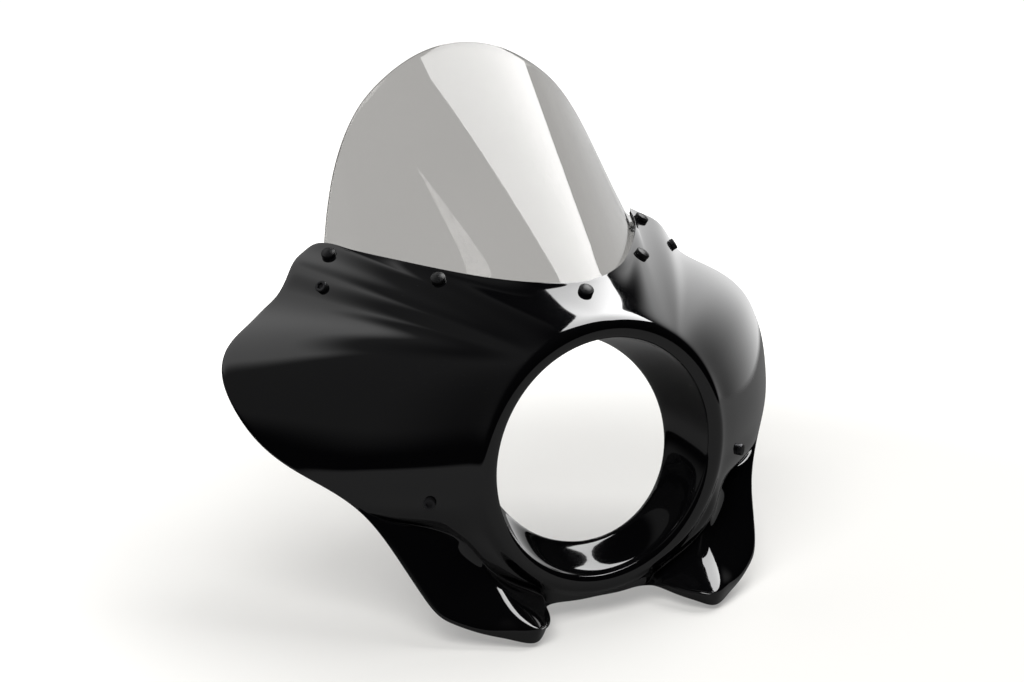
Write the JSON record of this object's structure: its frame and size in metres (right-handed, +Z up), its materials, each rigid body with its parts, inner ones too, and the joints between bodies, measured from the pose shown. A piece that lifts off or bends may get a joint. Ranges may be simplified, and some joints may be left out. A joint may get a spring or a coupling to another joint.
{
  "type": "motorcycle semi-fairing",
  "caption": "Handlebar-height half fairing with a round headlight opening, flared side fins, a tinted bent windscreen and steel brackets",
  "frame": {"origin": "centre of the headlight opening's front rim, in the plane where the lip meets the face", "axes": "+Z up, the shell faces -Y, +X to the right as seen from the front"},
  "size_m": [0.5234, 0.2936, 0.4426],
  "materials": {
    "shell": "deep gloss black lacquer over moulded plastic",
    "screen": "light smoke tinted clear acrylic, polished",
    "cap_screw": "glossy black nylon",
    "black_bolt": "black oxide steel, slightly oily sheen",
    "rubber_washer": "matt black rubber",
    "steel_nut": "bright zinc plated steel",
    "bracket": "satin black powder coat on steel strap"
  },
  "bodies": {
    "root": {"bracket_bolt_left_lower": "black_bolt", "bracket_bolt_left_upper": "black_bolt", "bracket_bolt_right_lower": "black_bolt", "bracket_bolt_right_upper": "black_bolt", "bracket_nut_left_lower": "steel_nut", "bracket_nut_left_upper": "steel_nut", "bracket_nut_right_lower": "steel_nut", "bracket_nut_right_upper": "steel_nut", "bracket_washer_left_lower": "rubber_washer", "bracket_washer_left_upper": "rubber_washer", "bracket_washer_right_lower": "rubber_washer", "bracket_washer_right_upper": "rubber_washer", "fairing_shell": "shell", "left_bracket": "bracket", "right_bracket": "bracket", "screen_nut_centre": "steel_nut", "screen_nut_left_inner": "steel_nut", "screen_nut_left_outer": "steel_nut", "screen_nut_right_inner": "steel_nut", "screen_nut_right_outer": "steel_nut", "screen_screw_centre": "cap_screw", "screen_screw_left_inner": "cap_screw", "screen_screw_left_outer": "cap_screw", "screen_screw_right_inner": "cap_screw", "screen_screw_right_outer": "cap_screw", "screen_washer_centre": "rubber_washer", "screen_washer_left_inner": "rubber_washer", "screen_washer_left_outer": "rubber_washer", "screen_washer_right_inner": "rubber_washer", "screen_washer_right_outer": "rubber_washer", "windscreen": "screen"}
  },
  "joints": []
}
